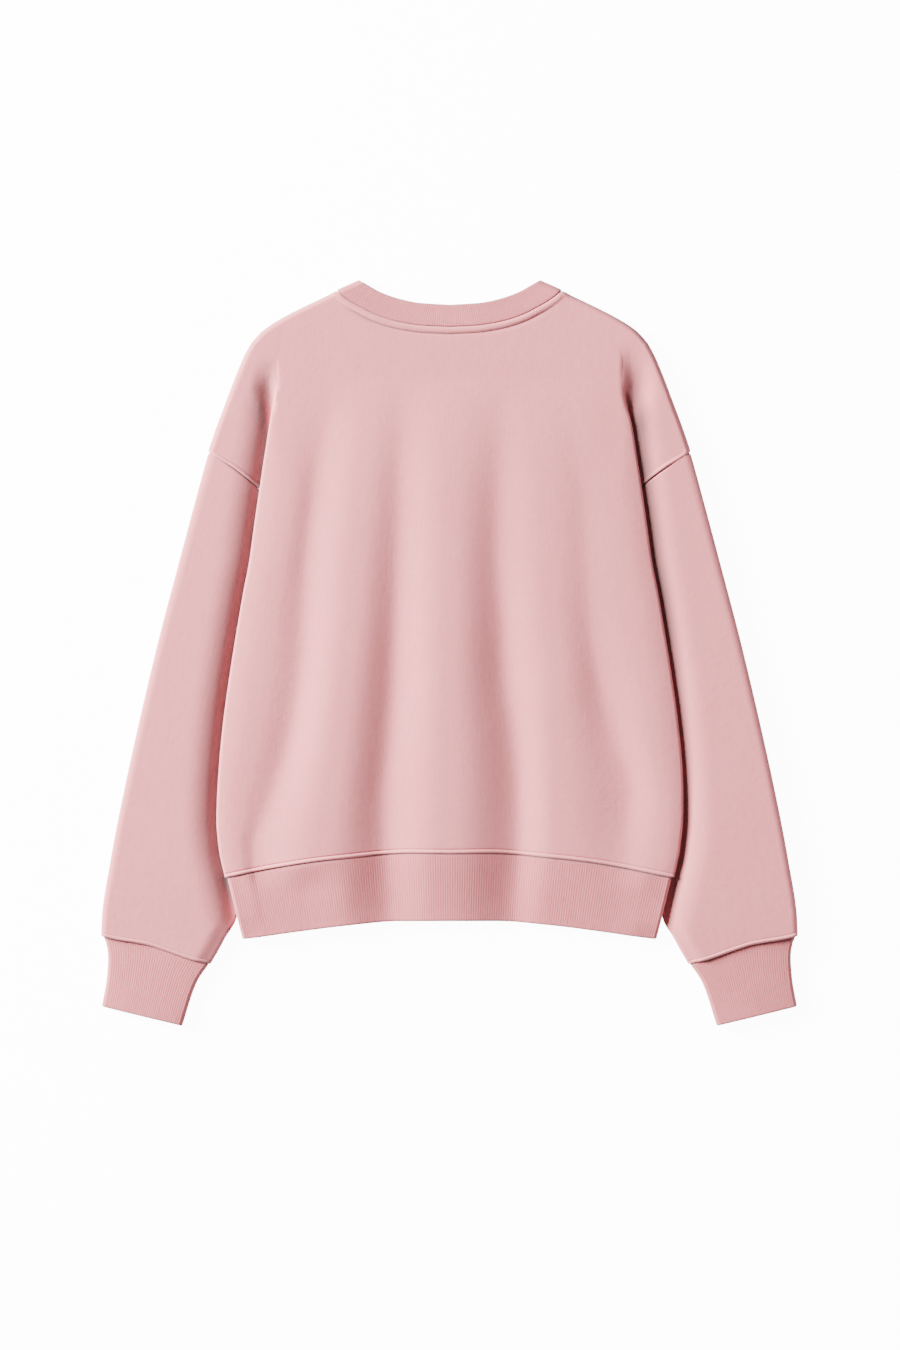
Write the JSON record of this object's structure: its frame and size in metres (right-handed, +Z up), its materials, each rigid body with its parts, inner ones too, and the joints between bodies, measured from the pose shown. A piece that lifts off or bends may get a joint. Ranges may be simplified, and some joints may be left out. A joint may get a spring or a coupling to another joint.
{
  "type": "sweatshirt",
  "caption": "Heavy crewneck sweatshirt laid flat with its back upward, with dropped shoulders, long sleeves and ribbed collar, cuffs and hem.",
  "frame": {"origin": "middle of the garment's outline, on the surface that it lies on", "axes": "+Z up from the surface, out of the garment's back; +Y from the hem towards the neck; +X towards the sleeve on the wearer's right"},
  "size_m": [0.696, 0.7468, 0.0161],
  "materials": {
    "fleece": "brushed cotton fleece, dusty pink, washed",
    "rib": "ribbed cotton knit, dusty pink, washed"
  },
  "bodies": {
    "root": {"back": "fleece", "front": "fleece", "sleeve_left": "fleece", "sleeve_right": "fleece", "cuff_left": "rib", "cuff_right": "rib", "hem_band": "rib", "collar": "rib"}
  },
  "joints": []
}
